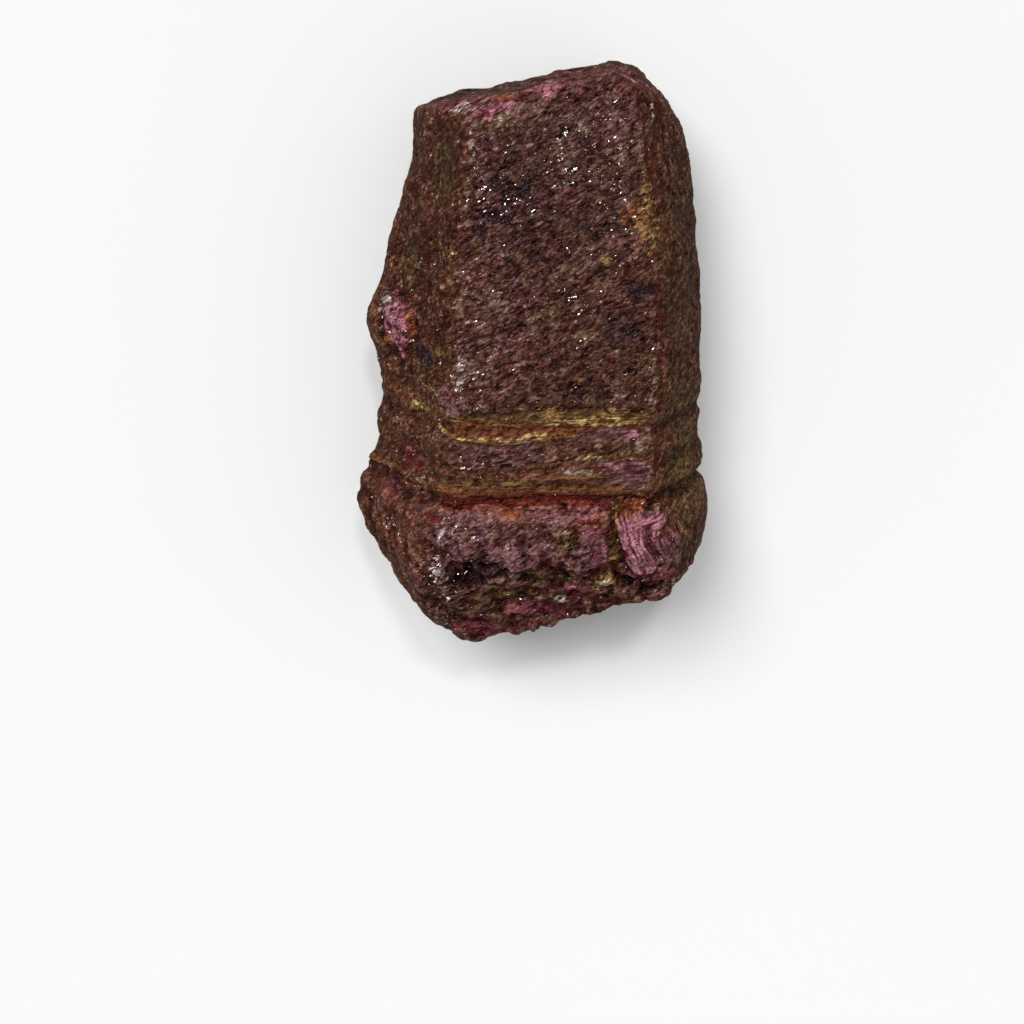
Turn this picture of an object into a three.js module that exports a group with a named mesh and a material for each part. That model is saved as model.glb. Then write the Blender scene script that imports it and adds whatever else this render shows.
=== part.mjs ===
// A raw ruby crystal: one tapered six-sided prism of corundum with a wider broken foot, on its back face.
//
// Millimetres, +Z up. The long axis of the crystal lies along Y, with the termination at +Y and the broken
// foot at -Y. It rests on its flat back face at Z = 0, with its widest face up, and the origin is the middle
// of its bounding box at that height. The crystal is one piece, so the group holds one closed mesh.
import * as THREE from "three";
import { LoftGeometry } from "three/addons/geometries/LoftGeometry.js";
import { ImprovedNoise } from "three/addons/math/ImprovedNoise.js";
import { mergeVertices } from "three/addons/utils/BufferGeometryUtils.js";

// Driving dimensions. The finished crystal is fitted to these three exactly.
const LENGTH = 90;
const WIDTH = 57;
const THICKNESS = 43;

// The six long edges of the prism, each a line of [y, x, z] from past the foot to past the termination. The
// two keels are the widest edges, and they step outwards at the ledge of the foot.
const EDGES = {
  leftKeel: [
    [-52, -14, 18],
    [-41.6, -19.8, 17.5],
    [-37.5, -21.8, 17],
    [-34.8, -22.4, 17],
    [-32.4, -24.8, 17],
    [-25, -28.4, 17],
    [-19, -28, 19],
    [-16.6, -27.2, 20],
    [-15.2, -25, 20],
    [-6, -24.3, 18.5],
    [9.5, -23.9, 18],
    [20, -21.3, 17.5],
    [31, -18.7, 17],
    [50, -17.6, 16.5],
  ],
  leftFront: [
    [-52, -10, 22],
    [-43, -13.6, 30],
    [-37, -16.2, 35.6],
    [-31, -17.2, 39.8],
    [-25, -16.4, 41.2],
    [-20.5, -14, 41.8],
    [-18.5, -12.6, 40.6],
    [-8, -11.6, 40.5],
    [2, -11, 40],
    [19, -10.6, 39],
    [34, -9, 37.6],
    [50, -7.4, 36],
  ],
  rightFront: [
    [-52, 21, 24],
    [-36, 21.6, 36],
    [-30, 20.6, 40.4],
    [-25, 19.6, 41.8],
    [-20.5, 18.2, 42.6],
    [-18.5, 17.8, 41.4],
    [-8, 18, 41],
    [2, 18.2, 40.6],
    [19, 17.8, 39.6],
    [34, 15.8, 38.2],
    [50, 13, 36.4],
  ],
  rightKeel: [
    [-52, 24, 20],
    [-35.3, 25.9, 20],
    [-31, 27.4, 20],
    [-25, 28.5, 20],
    [-19, 27.4, 20],
    [-12, 26.4, 20],
    [3, 26.4, 20],
    [16, 26.6, 19.5],
    [27, 25, 19],
    [34, 23, 18],
    [50, 18.6, 17],
  ],
  rightBack: [
    [-52, 16.5, 0],
    [-19, 16, 0],
    [50, 11.5, 0],
  ],
  leftBack: [
    [-52, -15, 0],
    [-19, -14.5, 0],
    [50, -9.5, 0],
  ],
};

// How each face runs from its edge to the next: the strips it is laid in, and how far its middle bulges.
const FACES = [
  { from: "leftKeel", to: "leftFront", strips: 8, crown: 0.4 },
  { from: "leftFront", to: "rightFront", strips: 10, crown: 0.3 },
  { from: "rightFront", to: "rightKeel", strips: 8, crown: 0.9 },
  { from: "rightKeel", to: "rightBack", strips: 7, crown: 0.6 },
  { from: "rightBack", to: "leftBack", strips: 8, crown: 0 },
  { from: "leftBack", to: "leftKeel", strips: 7, crown: 0.6 },
];
const EDGE_WEAR = 0.5;

// Partings: shallow grooves that run round the crystal square to its long axis.
const PARTINGS = [
  { y: -7.6, half: 1.5, depth: 0.8 },
  { y: -13.2, half: 1.1, depth: 0.35 },
  { y: -18.6, half: 1.7, depth: 1.2 },
];

// The ends are natural breaks: planes through at, facing out. The crystal ends at the innermost of them.
const FOOT = {
  breaks: [
    { at: [-8.3, -44.4, 29.5], out: [0.35, -0.94, -0.06] },
    { at: [-11.6, -44.2, 26], out: [-0.4, -0.9, -0.05] },
    { at: [0, -37, 0], out: [-0.08, -0.6, -0.8] },
  ],
  innermost: Math.max,
  near: -40,
};
const TERMINATION = {
  breaks: [
    { at: [-16, 37.8, 18], out: [-0.2, 0.98, -0.03] },
    { at: [-6, 38.2, 36], out: [-0.4, 0.78, 0.48] },
    { at: [-17, 38, 20], out: [-0.75, 0.66, 0] },
    { at: [16, 41.3, 28], out: [0.6, 0.8, 0.05] },
    { at: [21.6, 36.2, 19], out: [0.86, 0.51, 0.06] },
    { at: [0, 37, 0], out: [0.05, 0.62, -0.78] },
  ],
  innermost: Math.min,
  near: 40,
};

// The skin is laid in rows of points. They are square to the long axis between these two heights. Past
// them they lean more and more, until the last row of each end lies along its breaks.
const SQUARE_FROM = -20;
const SQUARE_TO = 20;
const SQUARE_ROWS = 18;
const LEANING_ROWS = 10;

// Each end is closed by rings of these shares of its last row, down to a single point at the middle.
const END_RINGS = [0.86, 0.72, 0.58, 0.44, 0.3, 0.15, 0];
const MIDDLE_HEIGHT = 20;

// Swellings and hollows: each moves the skin within its radius outwards by its height, most at the middle.
const SWELLINGS = {
  knob: { at: [-24, 5.2, 21], radius: 7, height: 2.6 },
  laminatedBlock: { at: [19.6, -26, 40], radius: 7, height: 1 },
  crevice: { at: [13.8, -25.5, 42], radius: 4.5, height: -0.9 },
  footHollow: { at: [-2, -37, 37], radius: 9, height: -1.2 },
};

// Relief left by growth and handling, in mm, over all but the resting face.
const RELIEF = [
  { size: 17, height: 0.8 },
  { size: 6.8, height: 0.45 },
];
const FLAT_BELOW = 1.2;

const perlin = new ImprovedNoise();

// Where a long edge is at height y along the crystal.
function pointOn(edge, y) {
  const next = Math.max(1, edge.findIndex((point) => point[0] >= y));
  const [y0, x0, z0] = edge[next - 1];
  const [y1, x1, z1] = edge[next];
  const share = (y - y0) / (y1 - y0);
  return new THREE.Vector3(THREE.MathUtils.lerp(x0, x1, share), y, THREE.MathUtils.lerp(z0, z1, share));
}

// How deep the partings are at height y.
function partingDepth(y) {
  const shareOf = (parting) => Math.max(0, 1 - Math.abs(y - parting.y) / parting.half);
  return Math.max(...PARTINGS.map((parting) => parting.depth * shareOf(parting)));
}

// The point of the skin at a share of the way across a face, at height y.
function skinPoint({ face, share }, y) {
  const start = pointOn(EDGES[face.from], y);
  const end = pointOn(EDGES[face.to], y);
  const outward = new THREE.Vector3(start.z - end.z, 0, end.x - start.x).normalize();
  const point = start.clone().lerp(end, share);
  point.addScaledVector(outward, face.crown * 4 * share * (1 - share));
  const inward = new THREE.Vector3(0, y, MIDDLE_HEIGHT).sub(point).normalize();
  const wear = share === 0 ? EDGE_WEAR : 0;
  return point.z > 0 ? point.addScaledVector(inward, wear + partingDepth(y)) : point;
}

// How far along Y the crystal reaches over a point, at this end.
function breakHeight(point, end) {
  const heightOf = ({ at, out }) => {
    const aside = (point.x - at[0]) * out[0] + (point.z - at[2]) * out[2];
    return at[1] - aside / out[1];
  };
  return end.innermost(...end.breaks.map(heightOf));
}

// Where a column of the skin meets the breaks of an end, found in steps.
function columnEnd(column, end) {
  let y = end.near;
  for (let step = 0; step < 16; step++) y = breakHeight(skinPoint(column, y), end);
  return y;
}

// The columns of the skin: one at each strip, round the six faces.
function skinColumns() {
  return FACES.flatMap((face) =>
    Array.from({ length: face.strips }, (_, strip) => ({ face, share: strip / face.strips })),
  );
}

// The square rows: even steps, with one at each side and the bottom of every parting.
function squareRows(columns) {
  const step = (SQUARE_TO - SQUARE_FROM) / SQUARE_ROWS;
  const partings = PARTINGS.flatMap(({ y, half }) => [y - half, y, y + half]);
  const even = Array.from({ length: SQUARE_ROWS + 1 }, (_, row) => SQUARE_FROM + row * step);
  const clear = even.filter((y) => partings.every((parting) => Math.abs(parting - y) > step / 3));
  const heights = [...clear, ...partings].sort((a, b) => a - b);
  return heights.map((y) => columns.map((column) => skinPoint(column, y)));
}

// The leaning rows from the last square row to the breaks of an end.
function leaningRows(columns, from, end) {
  const ends = columns.map((column) => columnEnd(column, end));
  const row = (share) => {
    const heights = ends.map((height) => THREE.MathUtils.lerp(from, height, share));
    return columns.map((column, i) => skinPoint(column, heights[i]));
  };
  return Array.from({ length: LEANING_ROWS }, (_, i) => row((i + 1) / LEANING_ROWS));
}

// Closes an end: smaller and smaller copies of its last row, laid on its breaks.
function endRings(row, end) {
  const middle = new THREE.Vector3(0, 0, MIDDLE_HEIGHT);
  const lay = (point, share) => {
    const laid = middle.clone().lerp(point, share);
    return laid.setY(breakHeight(laid, end));
  };
  return END_RINGS.map((share) => row.map((point) => lay(point, share)));
}

// All the rings of the skin, from the middle of the foot's break to the middle of the termination's.
function skinRings() {
  const columns = skinColumns();
  const square = squareRows(columns);
  const footward = leaningRows(columns, square[0][0].y, FOOT);
  const topward = leaningRows(columns, square.at(-1)[0].y, TERMINATION);
  const foot = [...footward, ...endRings(footward.at(-1), FOOT)].reverse();
  return [...foot, ...square, ...topward, ...endRings(topward.at(-1), TERMINATION)];
}

// Joins the points that meet and leaves out the triangles that this makes empty.
function closed(geometry) {
  const bare = new THREE.BufferGeometry().setIndex(geometry.index);
  const joined = mergeVertices(bare.setAttribute("position", geometry.getAttribute("position")), 1e-4);
  const corners = [...joined.index.array];
  const kept = [];
  for (let i = 0; i < corners.length; i += 3) {
    const triangle = corners.slice(i, i + 3);
    if (new Set(triangle).size === 3) kept.push(...triangle);
  }
  return joined.setIndex(kept);
}

// Relief at a point: noise at each size, and the swellings and hollows, added up.
function reliefAt(point) {
  const noise = RELIEF.map(
    ({ size, height }) => height * perlin.noise(point.x / size, point.y / size, point.z / size),
  );
  const swellings = Object.values(SWELLINGS).map(({ at, radius, height }) => {
    const share = point.distanceTo(new THREE.Vector3(...at)) / radius;
    return share < 1 ? height * (1 - share * share) ** 2 : 0;
  });
  return [...noise, ...swellings].reduce((sum, height) => sum + height, 0);
}

// Moves each vertex along its normal by the relief, and leaves the resting face flat.
function weather(geometry) {
  geometry.computeVertexNormals();
  const position = geometry.getAttribute("position");
  const normal = geometry.getAttribute("normal");
  for (let i = 0; i < position.count; i++) {
    const point = new THREE.Vector3().fromBufferAttribute(position, i);
    const share = THREE.MathUtils.smoothstep(point.z, 0, FLAT_BELOW);
    point.addScaledVector(new THREE.Vector3().fromBufferAttribute(normal, i), share * reliefAt(point));
    position.setXYZ(i, point.x, point.y, Math.max(0, point.z));
  }
  return geometry;
}

// Scales the crystal to the driving dimensions and puts the origin under the middle of its bounding box.
function fit(geometry) {
  geometry.computeBoundingBox();
  const size = geometry.boundingBox.getSize(new THREE.Vector3());
  const middle = geometry.boundingBox.getCenter(new THREE.Vector3());
  geometry.translate(-middle.x, -middle.y, -geometry.boundingBox.min.z);
  geometry.scale(WIDTH / size.x, LENGTH / size.y, THICKNESS / size.z);
  return geometry;
}

function rubyCrystal() {
  const geometry = fit(weather(closed(new LoftGeometry(skinRings()))));
  geometry.computeVertexNormals();
  const corundum = new THREE.MeshStandardMaterial({ color: 0x503630, roughness: 0.45, metalness: 0 });
  const mesh = new THREE.Mesh(geometry, corundum);
  mesh.name = "ruby_crystal";
  return mesh;
}

const group = new THREE.Group();
group.add(rubyCrystal());

export default group;
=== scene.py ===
"""A raw ruby crystal lying on its flat back, on a pale floor under soft studio light.

One barrel-shaped prism of corundum: a broad front face between two sloping side faces, a worn termination
at the far end, partings that cross it low down, and a broken foot that stands proud below the last of them.
Places and sizes are in millimetres in the crystal's own frame: X to the right, Y up the crystal towards its
termination, Z up from the floor. MM turns them into Blender's metres.
"""
import math

import bpy
import numpy as np
from mathutils import Matrix, Vector, noise


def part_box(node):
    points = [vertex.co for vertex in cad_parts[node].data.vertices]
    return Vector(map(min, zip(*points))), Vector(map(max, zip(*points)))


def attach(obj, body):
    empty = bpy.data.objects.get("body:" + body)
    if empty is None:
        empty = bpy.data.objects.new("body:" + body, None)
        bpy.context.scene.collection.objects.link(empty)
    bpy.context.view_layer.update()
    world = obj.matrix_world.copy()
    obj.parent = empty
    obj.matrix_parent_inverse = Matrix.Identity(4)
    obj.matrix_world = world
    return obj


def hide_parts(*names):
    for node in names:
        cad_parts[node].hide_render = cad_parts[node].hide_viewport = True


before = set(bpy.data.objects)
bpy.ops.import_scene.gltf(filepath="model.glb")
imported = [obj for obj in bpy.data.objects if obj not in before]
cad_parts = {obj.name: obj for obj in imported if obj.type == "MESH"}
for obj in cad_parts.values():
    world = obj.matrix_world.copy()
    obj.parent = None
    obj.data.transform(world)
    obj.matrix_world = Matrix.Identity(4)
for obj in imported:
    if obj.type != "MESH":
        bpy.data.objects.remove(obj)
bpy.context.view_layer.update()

NODE = "ruby_crystal"
MM = 0.001

# ---------------------------------------------------------------- driving sizes
LOW, HIGH = (np.array(corner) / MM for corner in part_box(NODE))
LENGTH = HIGH[1] - LOW[1]
FRONT = HIGH[2] - 2.0          # height of the broad front face above the floor
SKIN_GRAIN = 0.42      # spacing of the points of the fine skin
MOST_FACES = 196000

# The partings, as heights up the crystal at four places from its left keel to its right front edge.
ACROSS = (-20.0, -9.0, 3.0, 16.0)
SEAMS = (
    (-3.6, -4.6, -4.0, -4.0),       # head of the first parting
    (-5.0, -6.8, -6.6, -6.4),       # upper gold line
    (-6.6, -9.4, -8.8, -6.9),       # lower gold line
    (-12.5, -13.6, -12.3, -11.3),   # first of the fine seams
    (-14.8, -14.8, -14.9, -13.8),   # second of the fine seams
    (-17.4, -16.1, -16.0, -15.8),   # brown laminae
    (-18.8, -18.3, -17.5, -17.9),   # deep red seam
    (-20.2, -20.4, -21.5, -22.6),   # foot of the ledge
)
SEAM_RISE = 0.12               # how far the seams climb for each millimetre down the left side face
# How deep the skin is cut down the crystal: places counted in seams from the head of the first parting, each
# with its depth in millimetres. The deep ones are the partings themselves.
CUTS = (
    (-0.5, 0.0), (-0.06, -0.12), (0.06, 0.30), (0.9, 0.25), (1.0, 0.62), (1.1, 0.30),
    (1.9, 0.28), (2.0, 0.70), (2.1, 0.06), (2.4, -0.10), (2.9, 0.0), (3.0, 0.38),
    (3.1, 0.10), (3.9, 0.14), (4.0, 0.45), (4.1, 0.06), (4.9, 0.05), (5.0, 0.35),
    (5.1, 0.20), (5.9, 0.24), (6.0, 0.75), (6.2, 0.60), (6.4, 0.15), (7.0, 0.0),
)
COMB_SLANT = math.radians(30)  # the grain is combed across the crystal, rising to the right at this slant


# ---------------------------------------------------------------- small helpers
def only(piece):
    """Leaves this piece alone selected and active."""
    bpy.ops.object.select_all(action="DESELECT")
    piece.select_set(True)
    bpy.context.view_layer.objects.active = piece


def finish_with(piece, name, kind, **settings):
    """Adds one modifier to the piece and applies it."""
    only(piece)
    modifier = piece.modifiers.new(name, kind)
    for setting, value in settings.items():
        setattr(modifier, setting, value)
    bpy.ops.object.modifier_apply(modifier=modifier.name)


def points_of(piece):
    """The piece's points, in millimetres."""
    flat = np.empty(len(piece.data.vertices) * 3)
    piece.data.vertices.foreach_get("co", flat)
    return flat.reshape(-1, 3) / MM


def normals_of(piece):
    flat = np.empty(len(piece.data.vertices) * 3, np.float32)
    piece.data.vertex_normals.foreach_get("vector", flat)
    return flat.reshape(-1, 3).astype(float)


def move_points(piece, points):
    piece.data.vertices.foreach_set("co", (points * MM).ravel())
    piece.data.update()


def ramp(value, start, end):
    """Rises smoothly from 0 at start to 1 at end."""
    share = np.clip((value - start) / (end - start), 0.0, 1.0)
    return share * share * (3.0 - 2.0 * share)


def lumps(points, size, seed=0):
    """A smooth random value at each point, from about -1 to 1, in lumps of this size."""
    shift = Vector((7.3, -3.1, 5.7)) * seed
    return np.array([noise.noise(Vector(place) + shift) for place in points / size]) * 1.6


def facets(points, size, seed=0):
    """The height of a skin broken in flat facets of this size, each tilted its own way."""
    shift = Vector((4.1, 9.7, -6.3)) * seed
    heights = []
    for place in points / size:
        spot = Vector(place) + shift
        middle = noise.voronoi(spot)[1][0]
        tilt = noise.cell_vector(middle * 50.0) - Vector((0.5, 0.5, 0.5))
        heights.append((spot - middle) @ tilt * 2.0)
    return np.array(heights)


def patch(points, place, reach, ragged=0.3, seed=1):
    """1 inside a ragged round patch of the skin and 0 outside it."""
    away = np.linalg.norm((points - np.array(place)) / np.array(reach), axis=1)
    near = away < 2.0
    away[near] += ragged * lumps(points[near], 1.6, seed)
    return ramp(away, 1.2, 0.75)


def from_path(points, path):
    """Each point's distance from a line through the places of the path, less than 0 to the right of it."""
    nearest = np.full(len(points), 1e9)
    for start, end in zip(np.array(path[:-1]), np.array(path[1:])):
        run = end - start
        share = np.clip((points - start) @ run / (run @ run), 0.0, 1.0)
        away = points - start - share[:, None] * run
        side = np.where(run[0] * away[:, 1] < run[1] * away[:, 0], -1.0, 1.0)
        distance = np.linalg.norm(away, axis=1)
        nearest = np.where(distance < np.abs(nearest), side * distance, nearest)
    return nearest


def along(points, path, width):
    """1 on a line through the places of the path, falling to 0 at half the width from it."""
    return ramp(np.abs(from_path(points, path)), width / 2, 0.0)


# ---------------------------------------------------------------- the skin
def skin_of(node):
    """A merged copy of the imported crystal, given one fine, even skin."""
    piece = bpy.data.objects.new("ruby_crystal_skin", node.data.copy())
    bpy.context.scene.collection.objects.link(piece)
    piece.data.materials.clear()
    only(piece)
    bpy.ops.object.mode_set(mode="EDIT")
    bpy.ops.mesh.select_all(action="SELECT")
    bpy.ops.mesh.remove_doubles(threshold=0.01 * MM)
    bpy.ops.object.mode_set(mode="OBJECT")
    finish_with(piece, "even_skin", "REMESH", mode="VOXEL", voxel_size=SKIN_GRAIN * MM)
    finish_with(piece, "worn", "SMOOTH", factor=0.5, iterations=12)
    return piece


def seam_count(points):
    """How many seams lie above each point, counted in parts: 0 at the first, 1 at the second and so on."""
    across = np.clip(points[:, 0], ACROSS[0], ACROSS[-1] + 2.0)
    climb = SEAM_RISE * np.clip(FRONT - points[:, 2], 0.0, 14.0) * ramp(points[:, 0], 10.0, -10.0)
    wobble = 0.30 * lumps(points * (1, 0.25, 1), 5.0, 3) + 0.12 * lumps(points * (1, 0.25, 1), 1.8, 4)
    heights = [np.polyval(np.polyfit(ACROSS, seam, 3), across) + climb + wobble for seam in SEAMS]
    count = np.clip((heights[0] - points[:, 1]) / 3.0, -1.0, 0.0)
    for upper, lower in zip(heights, heights[1:]):
        count += np.clip((upper - points[:, 1]) / (upper - lower), 0.0, 1.0)
    return count + np.clip((heights[-1] - points[:, 1]) / 3.0, 0.0, 1.0)


def cut_seams(piece):
    """Cuts the partings and the fine laminae between them into the skin."""
    points, normals = points_of(piece), normals_of(piece)
    count = seam_count(points)
    open_here = ramp(lumps(points * (1, 0.2, 1), 9.0, 5), -0.75, 0.1)
    left_face = ramp(-normals[:, 0], 0.5, 0.85)
    right_face = ramp(normals[:, 0], 0.35, 0.8)
    share = (0.35 + 0.65 * open_here) * (1 - 0.45 * left_face) * (1 - 0.7 * right_face)
    depth = np.interp(count, *zip(*CUTS)) * share
    laminated = ramp(count, -0.2, 0.2) * ramp(count, 7.0, 6.3)
    leaves = np.stack([points[:, 0] / 7.0, count * 5.0, points[:, 2] / 7.0], 1)
    depth += 0.16 * laminated * share * lumps(leaves, 1.0, 6)
    move_points(piece, points - normals * depth[:, None])


# The knob on the left keel, and the leafy block low on the right with the crevice beside it.
KNOB = (-20.2, 5.6, 26.4)
KNOB_REACH = (3.4, 4.4, 4.2)
# Each lobe of the block, as the front shows it: the line down its middle, its width, how far it stands out
# and how rosy it is. The leaves of a lobe run along its line.
BLOCK = (
    (((14.9, -21.3), (15.6, -24.4), (17.0, -27.1)), 5.2, 1.20, 1.0),
    (((17.3, -21.4), (19.0, -20.7)), 3.0, 0.90, 0.90),
    (((18.4, -23.6), (19.9, -26.4)), 3.6, 0.60, 0.65),
    (((21.2, -22.6), (22.6, -24.6)), 2.8, 0.35, 0.30),
)
LEAF = 0.72                    # the usual thickness of a leaf
CREVICE = ((12.2, -18.4, 41.5), (12.5, -22.5, 43.0), (12.3, -26.0, 42.4), (12.9, -31.0, 41.0))
# Where the foot has broken away in steps or stands up between them: the place and reach of each patch, how
# far it stands out, and how ragged it is.
FOOT_PATCHES = (
    ((15.0, -31.5, 39.8), (2.6, 1.5, 2.2), -1.3, 0.4),     # below the block
    ((18.8, -32.4, 38.8), (3.0, 1.4, 2.2), -0.9, 0.4),
    ((8.8, -31.0, 40.6), (1.8, 1.8, 2.0), -0.8, 0.4),
    ((11.4, -31.7, 39.7), (1.8, 1.2, 1.6), 0.8, 0.4),
    ((2.4, -31.0, 40.0), (5.4, 2.2, 2.6), -1.1, 0.5),      # the hollow low in the middle
    ((-7.8, -31.0, 40.6), (4.6, 2.6, 3.0), -1.1, 0.6),     # and the dark one to its left
    ((-2.5, -28.0, 41.3), (1.3, 2.2, 1.5), 0.6, 0.4),
    ((9.2, -24.4, 42.2), (2.6, 3.6, 2.0), 0.6, 0.5),       # beside the crevice
)
# The ridges and the groove of the foot: the line of each, its width, and how far it stands out.
FOOT_RIDGES = (
    (((-8.0, -42.0, 32.0), (-0.5, -36.0, 35.4), (5.0, -32.6, 38.4), (11.0, -31.9, 39.4)), 3.0, 0.7),
    (((6.6, -22.0, 42.6), (6.8, -26.0, 42.2), (8.4, -28.6, 41.4)), 1.4, -0.5),
    (((-13.4, -21.6, 42.2), (-14.3, -27.0, 41.5), (-13.4, -34.0, 38.8)), 2.6, 0.6),
)


def block_leaves(points):
    """How far each point belongs to the block, stands out, lies across the leaves, and is rosy."""
    share, out, across, rosy = (np.zeros(len(points)) for _ in range(4))
    ragged = 0.40 * lumps(points * (1, 1, 0), 1.9, 9)
    in_front = ramp(points[:, 2], 31.0, 34.0)
    for path, width, height, rose in BLOCK:
        away = from_path(points[:, :2], path)
        first, second, before, last = np.array((*path[:2], *path[-2:]))
        leaf = from_path(points[:, :2], (first + 3 * (first - second), *path, last + 3 * (last - before)))
        near = in_front * ramp(np.abs(away) + ragged, width * 0.62, 0.0)
        crest = ramp(near, 0.10, 0.34)
        edge = ramp(near, 0.0, 0.06) * ramp(near, 0.2, 0.1)
        mine = near > share
        across = np.where(mine, leaf, across)
        out = np.where(mine, height * crest - 0.45 * edge, out)
        rosy = np.where(mine, rose, rosy)
        share = np.where(mine, near, share)
    share = ramp(share, 0.10, 0.25)
    across += 0.20 * lumps(points * (1, 1, 0), 2.4, 10)
    out += 0.10 * share * np.sin(math.pi * across / LEAF)
    return share, out, across, share * rosy


def broken_foot(points, normals, block):
    """How far the broken foot stands out at each point, away from the block."""
    out = np.zeros(len(points))
    for place, reach, height, ragged in FOOT_PATCHES:
        out += height * patch(points, place, reach, ragged)
    for path, width, height in FOOT_RIDGES:
        out += height * along(points, path, width)
    # crumbled rim at the very foot
    rim = ramp(points[:, 1], -29.0, -35.0) * ramp(normals[:, 2], -0.6, 0.1)
    out += rim * (0.35 * lumps(points, 3.6, 11) + 0.2 * facets(points, 2.2, 12))
    # the lower end is all one rough break
    end = ramp(-normals[:, 1], 0.55, 0.85) * ramp(points[:, 1], -30.0, -36.0) * ramp(points[:, 2], 33.0, 26.0)
    out += end * 0.6 * lumps(points, 7.0, 25)
    out += end * (0.7 * facets(points, 5.5, 26) + 0.3 * facets(points, 2.4, 27))
    # the front is broken in short ledges
    front = ramp(points[:, 1], -23.0, -28.0) * ramp(normals[:, 2], 0.2, 0.6) * (1 - block)
    out += front * 0.45 * lumps(points, 4.2, 17)
    out += front * (1.0 * facets(points, 3.6, 18) + 0.3 * facets(points, 1.8, 19))
    # the lower left keel is ragged
    keel = ramp(points[:, 0], -17.0, -21.0) * ramp(points[:, 1], -18.0, -23.0)
    return out + keel * (0.4 * lumps(points, 2.8, 15) + 0.3 * facets(points, 2.0, 16))


def worn_termination(points):
    """How far the worn upper end stands out at each point: chips on its rim, and a ribbed right shoulder."""
    out = -0.6 * patch(points, (-6.6, 40.6, 36.0), (3.6, 2.2, 2.4))
    out -= 0.35 * patch(points, (-1.0, 41.8, 37.4), (3.2, 1.4, 2.0))
    out += 0.35 * ramp(points[:, 1], 37.0, 42.0) * lumps(points, 2.6, 13)
    shoulder = patch(points, (17.0, 36.0, 33.0), (6.0, 9.0, 8.0))
    return out + 0.3 * shoulder * lumps(points * (1.0, 0.3, 0.9), 1.3, 14)


def raise_and_hollow(piece):
    """The knob, the leafy block, the crevice beside it, the broken foot and the worn termination."""
    points, normals = points_of(piece), normals_of(piece)
    block, out, _, _ = block_leaves(points)
    # the knob stands out of the left keel, with a crease round it
    knob = np.linalg.norm((points - KNOB) / KNOB_REACH, axis=1) + 0.18 * lumps(points, 2.0, 8)
    out += 0.9 * ramp(knob, 1.05, 0.5) - 0.45 * np.exp(-((knob - 1.12) / 0.12) ** 2)
    out -= 0.9 * ramp(along(points, CREVICE, 2.0), 0.1, 0.6)
    out += broken_foot(points, normals, block) + worn_termination(points)
    move_points(piece, points + normals * out[:, None])


def roughen(piece):
    """The sugary grain of the skin, combed along one slant across the front."""
    points, normals = points_of(piece), normals_of(piece)
    comb = points @ np.array(Matrix.Rotation(COMB_SLANT, 3, "Z"))
    out = 0.28 * lumps(points, 8.5, 20) + 0.14 * lumps(points, 3.8, 21) + 0.07 * lumps(points, 1.9, 22)
    facing = ramp(normals[:, 2], 0.6, 0.9)
    out += 0.10 * (0.35 + 0.65 * facing) * lumps(comb * (0.4, 1.0, 1.0), 1.0, 23)
    out += 0.16 * facets(comb * (0.6, 1.0, 1.0), 1.1, 24)
    ledge = seam_count(points)
    smooth = ramp(ledge, 6.1, 6.4) * ramp(ledge, 7.1, 6.9) * ramp(points[:, 0], -3.0, 0.0)
    out *= 1.0 - 0.75 * smooth
    resting = ramp(-normals[:, 2], 0.75, 0.95) * ramp(points[:, 2], 1.6, 0.5)
    out = out * (1.0 - 0.75 * resting) - 0.12 * resting
    points = points + normals * out[:, None]
    # little of the relief stands above the crystal's own height, and none of it below the floor
    points[:, 2] -= 0.7 * np.maximum(points[:, 2] - HIGH[2], 0.0)
    move_points(piece, points)
    finish_with(piece, "settled", "SMOOTH", factor=0.35, iterations=1)
    points = points_of(piece)
    points[:, 2] = np.maximum(points[:, 2], 0.0)
    move_points(piece, points)


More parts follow.
